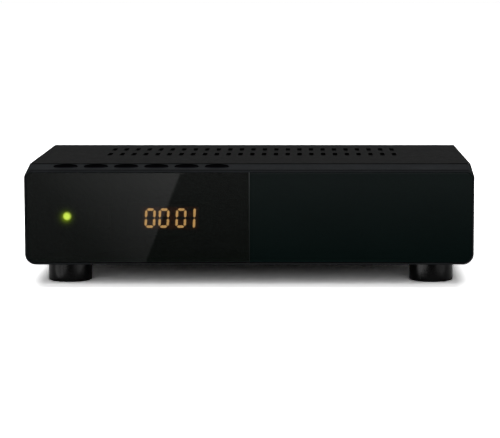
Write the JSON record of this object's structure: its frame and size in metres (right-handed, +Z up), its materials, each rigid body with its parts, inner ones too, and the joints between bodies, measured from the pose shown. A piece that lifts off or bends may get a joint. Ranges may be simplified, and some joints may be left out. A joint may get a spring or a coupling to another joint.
{
  "type": "satellite television receiver",
  "caption": "Compact low box receiver with a smoked display window, round top keys, vented cover, round feet and rear sockets.",
  "frame": {"origin": "on the supporting surface, under the centre of the bounding box", "axes": "+X to the viewer's right along the width, -Y out of the front face, +Z up"},
  "size_m": [0.1716, 0.1124, 0.0455],
  "materials": {
    "cover_paint": "fine matt black powder coat",
    "tray_paint": "fine matt black powder coat",
    "moulding_black": "satin black ABS",
    "key_black": "matt black caps",
    "smoked_window": "polished smoked acrylic",
    "gloss_black": "polished black",
    "foot_black": "satin black rubber",
    "screw_black": "black oxide",
    "screw_zinc": "zinc plated",
    "standoff_brass": "turned brass",
    "board_green": "solder-masked glass-epoxy board",
    "switch_grey": "moulded",
    "socket_black": "moulded black",
    "tongue_white": "moulded white",
    "header_cream": "moulded cream",
    "contact_gold": "gold flash",
    "shell_nickel": "nickel plated",
    "tin_plate": "tin-plated sheet",
    "insulator_white": "moulded white",
    "display_body": "moulded black face",
    "amber_lit": "lit segments",
    "green_lit": "lit lens",
    "receiver_dark": "infra-red filter epoxy",
    "chip_epoxy": "moulded epoxy",
    "sink_aluminium": "extruded",
    "capacitor_sleeve": "shrink sleeve",
    "ferrite": "ferrite and lacquered wire"
  },
  "bodies": {
    "case": {"top_cover": "cover_paint", "chassis_tray": "tray_paint", "front_moulding": "moulding_black", "display_window": "smoked_window", "blank_plate": "gloss_black", "foot_front_left": "foot_black", "foot_front_right": "foot_black", "foot_rear_left": "foot_black", "foot_rear_right": "foot_black", "foot_screws": "screw_zinc", "cover_side_screws": "screw_black", "cover_rear_screws": "screw_black", "main_board": "board_green", "standoffs": "standoff_brass", "board_screws": "screw_zinc", "front_board": "board_green", "front_board_screws": "screw_zinc", "key_board": "board_green", "key_board_screws": "screw_zinc", "key_link_header": "header_cream", "switch_bodies": "switch_grey", "display_module": "display_body", "display_digits": "amber_lit", "power_light": "green_lit", "remote_receiver": "receiver_dark", "link_socket": "header_cream", "link_header": "header_cream", "power_inlet": "socket_black", "power_inlet_pin": "shell_nickel", "scart_socket": "socket_black", "scart_contacts": "contact_gold", "video_socket_shell": "shell_nickel", "data_socket_shell": "shell_nickel", "socket_tongues": "tongue_white", "audio_socket": "tongue_white", "audio_ring": "shell_nickel", "tuner_can": "tin_plate", "tuner_lid": "tin_plate", "antenna_socket": "shell_nickel", "antenna_nut": "shell_nickel", "antenna_insulator": "insulator_white", "antenna_contact": "contact_gold", "processor_chip": "chip_epoxy", "heat_sink": "sink_aluminium", "memory_chips": "chip_epoxy", "capacitors": "capacitor_sleeve", "power_coils": "ferrite"},
    "power_button": {"power_key": "key_black", "power_plunger": "switch_grey"},
    "menu_button": {"menu_key": "key_black", "menu_plunger": "switch_grey"},
    "exit_button": {"exit_key": "key_black", "exit_plunger": "switch_grey"},
    "ok_button": {"ok_key": "key_black", "ok_plunger": "switch_grey"},
    "channel_down_button": {"channel_down_key": "key_black", "channel_down_plunger": "switch_grey"},
    "channel_up_button": {"channel_up_key": "key_black", "channel_up_plunger": "switch_grey"}
  },
  "joints": [
    {"name": "power_press", "type": "slide", "parent": "case", "child": "power_button", "axis": [0, 0, -1], "range_m": [0, 0.0003], "stiffness_N_per_m": 2000},
    {"name": "menu_press", "type": "slide", "parent": "case", "child": "menu_button", "axis": [0, 0, -1], "range_m": [0, 0.0003], "stiffness_N_per_m": 2000},
    {"name": "exit_press", "type": "slide", "parent": "case", "child": "exit_button", "axis": [0, 0, -1], "range_m": [0, 0.0003], "stiffness_N_per_m": 2000},
    {"name": "ok_press", "type": "slide", "parent": "case", "child": "ok_button", "axis": [0, 0, -1], "range_m": [0, 0.0003], "stiffness_N_per_m": 2000},
    {"name": "channel_down_press", "type": "slide", "parent": "case", "child": "channel_down_button", "axis": [0, 0, -1], "range_m": [0, 0.0003], "stiffness_N_per_m": 2000},
    {"name": "channel_up_press", "type": "slide", "parent": "case", "child": "channel_up_button", "axis": [0, 0, -1], "range_m": [0, 0.0003], "stiffness_N_per_m": 2000}
  ]
}
